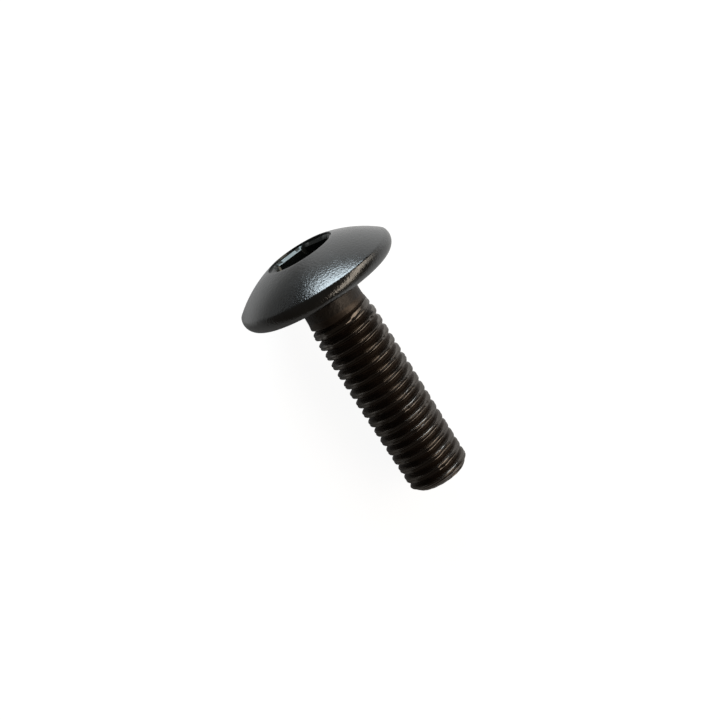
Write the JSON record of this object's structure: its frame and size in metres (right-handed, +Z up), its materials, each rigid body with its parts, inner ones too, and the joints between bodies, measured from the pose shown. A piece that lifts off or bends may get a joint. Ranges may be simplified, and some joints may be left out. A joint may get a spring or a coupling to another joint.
{
  "type": "button head screw",
  "caption": "Black steel machine screw with a wide domed head, a hexagon socket, a short plain neck and a metric thread to its tip.",
  "frame": {"origin": "centre of the bounding box, on the plane the screw rests on", "axes": "+Z up from the rest plane; +X from the head towards the tip, seen from above; the screw's own axis lies in the XZ plane and dips 12.17 degrees towards the tip"},
  "size_m": [0.0238, 0.0144, 0.0141],
  "materials": {
    "black_steel": "satin black oxide over cold-formed steel"
  },
  "bodies": {
    "root": {"button_head_screw": "black_steel"}
  },
  "joints": []
}
